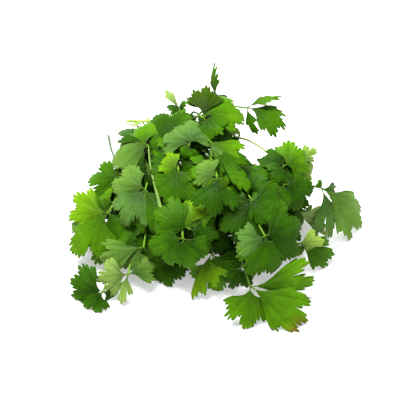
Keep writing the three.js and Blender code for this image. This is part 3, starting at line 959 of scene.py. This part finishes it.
def stalk_material():
    """Pale green, streaked and blotched along the stalk, and paler still where it is cut."""
    material, tree = node_material("coriander_stalk")
    tone = attribute(tree, "tone", "Color")
    place = attribute(tree, "place", "Vector")
    cut = attribute(tree, "under")
    stretched = add_node(tree, "ShaderNodeMapping", inputs={"Vector": place, "Scale": (0.05, 3.0, 1.0)})
    streaks = noise(tree, stretched.outputs[0], 1.0, 3.0)
    blotches = noise(tree, place, 0.06, 1.0)
    shade = ranged(tree, streaks, 0.3, 0.7, 0.82, 1.15)
    shade = times(tree, shade, ranged(tree, blotches, 0.3, 0.7, 0.85, 1.15))
    colour = mixed(tree, cut, scaled(tree, tone, shade), CUT_COLOUR)
    shader = add_node(tree, "ShaderNodeBsdfPrincipled", inputs={
        "Base Color": colour, "Roughness": 0.42, "Specular IOR Level": 0.08,
        "Normal": bumped(tree, streaks, 0.3, 0.0002),
        "Subsurface Weight": 0.2, "Subsurface Radius": (0.002, 0.003, 0.001), "Subsurface Scale": 0.5})
    finished(tree, shader)
    return material


LEAF = leaf_material()
STALK = stalk_material()


# ---------------------------------------------------------------- the plant
def leaflet_stem(lay, end, radii, seed):
    """A leaflet's own short stem, from its crown into the blade."""
    along = np.linspace(0, end, STEM_POINTS)
    middles = lay.place(along, np.zeros(STEM_POINTS)) - STEM_SINK * lay.up
    core = settled(middles, STEM_CLEARANCE)
    return as_piece(*tube(core, np.linspace(*radii, STEM_POINTS)), tone=STEM_TONE, seed=seed)


def upper_leaflets(rng, crown, tips, seed):
    """The leaflets that meet at a crown."""
    pieces = []
    for tip in tips:
        at = (tip.x, tip.y, tip.z)
        over = -1 if tip.fold < 0 else 1
        droop = over * DROOP * rng.uniform(*DROOP_WANDER)
        lay = Lay(crown, at, tip.roll, tip.fold, droop, over * CUP)
        plan = tip.plan or plan_for(rng, tip.spread)
        blade = coloured_with_painted_shade(leaflet(rng, lay, tip.spread, BLADE_START, plan), rng, tip.tone)
        pieces.append(scorched(blade) if at in SCORCHED else blade)
        pieces.append(leaflet_stem(lay, BLADE_START + STEM_HOLD, STEM_RADII, seed))
    return pieces


def lower_leaflet(rng, path, distance, tip, spread, tone):
    """A smaller leaflet borne on a stalk at a distance behind its crown."""
    behind = np.linalg.norm(path - path[-1], axis=1)
    start = path[np.argmin(np.abs(behind - distance))]
    lay = Lay(start, tip, rng.uniform(-LOWER_ROLL, LOWER_ROLL), FOLD)
    blade = leaflet(rng, lay, spread, LOWER_BLADE_START, plan_for(rng, spread), **LOWER_DIVISION)
    stem = leaflet_stem(lay, LOWER_BLADE_START + LOWER_STEM_HOLD, LOWER_STEM_RADII, distance)
    return [coloured_with_painted_shade(blade, rng, tone), stem]


def lower_pairs(rng, path, distances):
    """Pairs of smaller leaflets on a stalk at distances behind its crown."""
    behind = np.linalg.norm(path - path[-1], axis=1)
    pieces = []
    for distance in distances:
        distance = distance * rng.uniform(*PAIR_WANDER)
        at = np.argmin(np.abs(behind - distance))
        ahead = unit(path[at + 1] - path[at - 1])
        out = facing(path[at])
        aside = unit(np.cross(ahead, out))
        tones = NEAR_TONES if distance < DEEP_FROM else FAR_TONES
        for turn in (-1, 1):
            stray = rng.uniform(-PAIR_STRAY, PAIR_STRAY, 3)
            way = unit(turn * aside + PAIR_LEAN * ahead - PAIR_SINK * out + stray)
            tip = path[at] + way * rng.uniform(*PAIR_LENGTH)
            tip[2] = max(tip[2], LOWEST_TIP)
            tone = tones[rng.integers(len(tones))]
            pieces += lower_leaflet(rng, path, distance, tip, rng.uniform(*PAIR_SPREAD), tone)
    return pieces


def stalk(path, girth, tone, seed):
    """A ribbed stalk, thickest at its cut end, with its finish laid out along and around it."""
    share = np.linspace(0, 1, STALK_POINTS)
    radii = (CROWN_RADIUS + (FOOT_RADIUS - CROWN_RADIUS) * (1 - share) ** STALK_TAPER) * girth
    path = path.copy()
    path[:, 2] = np.maximum(path[:, 2], radii + FLOOR_GAP)
    vertices, faces = tube(path, radii, STALK_SIDES, RIBS, RIB_DEPTH)
    travelled = np.concatenate([[0], np.cumsum(np.linalg.norm(np.diff(path, axis=0), axis=1))])
    around = np.linspace(0, STREAKS_ROUND, STALK_SIDES, endpoint=False)
    place = np.column_stack([np.repeat(travelled, STALK_SIDES), np.tile(around, STALK_POINTS)])
    ends = [[0, STREAKS_ROUND / 2], [travelled[-1], STREAKS_ROUND / 2]]
    cut = np.zeros(len(vertices))
    cut[:STALK_SIDES] = CUT_RIM
    cut[-2] = 1.0  # the middle of the cut end
    return as_piece(vertices, faces, tone, seed, under=cut, place=np.concatenate([place, ends]))


def stub(start, end, tone):
    """What is left of a side stem that was cut."""
    path = curve_through([start, end], STUB_POINTS)
    path[:, 2] = np.maximum(path[:, 2], STUB_CLEARANCE)
    return as_piece(*tube(path, np.linspace(*STUB_RADII, STUB_POINTS)), tone=tone, seed=start[0])


FIRST_SEED = 100

for number, (name, (crown, tips)) in enumerate(SPRIGS.items()):
    rng = np.random.default_rng(FIRST_SEED + number)
    crown = np.array(crown, float)
    path = curve_through([*stalk_line(f"{name}_stalk", crown), crown], STALK_POINTS)
    pieces = upper_leaflets(rng, crown, tips, number)
    pieces += lower_pairs(rng, path, PAIRS.get(name, ()))
    for distance, x, y, z, spread, tone in LOWER.get(name, ()):
        pieces += lower_leaflet(rng, path, distance, (x, y, z), spread, tone)
    add_mesh(f"{name}_leaf_look", pieces, LEAF, f"{name}_leaf")

    tone = np.array(STALK_TONES.get(name, STALK_TONE)) * rng.uniform(*STALK_TONE_WANDER)
    pieces = [stalk(path, STALK_GIRTHS.get(name, 1.0), tone, number * STREAK_SHIFT)]
    pieces += [stub(start, end, tone) for start, end in STUBS.get(name, ())]
    add_mesh(f"{name}_stalk_look", pieces, STALK, f"{name}_stalk")

looks = [o.data for o in bpy.data.objects if o.name.endswith("_look")]
print("triangles in all:", sum(len(p.vertices) - 2 for mesh in looks for p in mesh.polygons))

# ---------------------------------------------------------------- the studio
FLOOR_REACH = 4
FLOOR_COLOUR = (0.68, 0.68, 0.68, 1.0)
FLOOR_GLOW = (0.38, 0.85)  # near the plant and far from it,
GLOW_REACH = (0.3, 1.3)  # at these distances
KEY = ((-0.25, 0.2, 1.1), (0.7, 0.5), 36)  # place, size and power
FILL = ((0.7, -0.5, 0.8), (0.8, 0.8), 4)
SKY = 0.42

corners = [(x * FLOOR_REACH, y * FLOOR_REACH, 0) for x, y in ((-1, -1), (1, -1), (1, 1), (-1, 1))]
floor_mesh = bpy.data.meshes.new("floor")
floor_mesh.from_pydata(corners, [], [(0, 1, 2, 3)])
floor = bpy.data.objects.new("floor", floor_mesh)
bpy.context.scene.collection.objects.link(floor)

# a plain floor with a faint glow of its own, stronger away from the plant, so that it ends in white
# near the plant the glow is painted light that lightens the plant's shadow and lights the leaves from
# below
floor_material, tree = node_material("studio_floor")
diffuse = add_node(tree, "ShaderNodeBsdfDiffuse", inputs={"Color": FLOOR_COLOUR})
here = add_node(tree, "ShaderNodeNewGeometry").outputs["Position"]
away = add_node(tree, "ShaderNodeVectorMath", operation="LENGTH", inputs={0: here}).outputs["Value"]
strength = ranged(tree, away, *GLOW_REACH, *FLOOR_GLOW)
glow = add_node(tree, "ShaderNodeEmission", inputs={"Strength": strength})
finished(tree, add_node(tree, "ShaderNodeAddShader", inputs={0: diffuse.outputs[0], 1: glow.outputs[0]}))
floor_mesh.materials.append(floor_material)

world = bpy.data.worlds.new("studio")
world.use_nodes = True
world.node_tree.nodes["Background"].inputs["Color"].default_value = (1, 1, 1, 1)
world.node_tree.nodes["Background"].inputs["Strength"].default_value = SKY
bpy.context.scene.world = world


def softbox(name, place, size, power):
    light = bpy.data.lights.new(name, "AREA")
    light.shape = "RECTANGLE"
    light.size, light.size_y = size
    light.energy = power
    lamp = bpy.data.objects.new(name, light)
    lamp.location = place
    lamp.rotation_euler = (AIM - Vector(place)).to_track_quat("-Z", "Y").to_euler()
    bpy.context.scene.collection.objects.link(lamp)


softbox("key", *KEY)
softbox("fill", *FILL)

bpy.context.scene.view_settings.view_transform = "Standard"
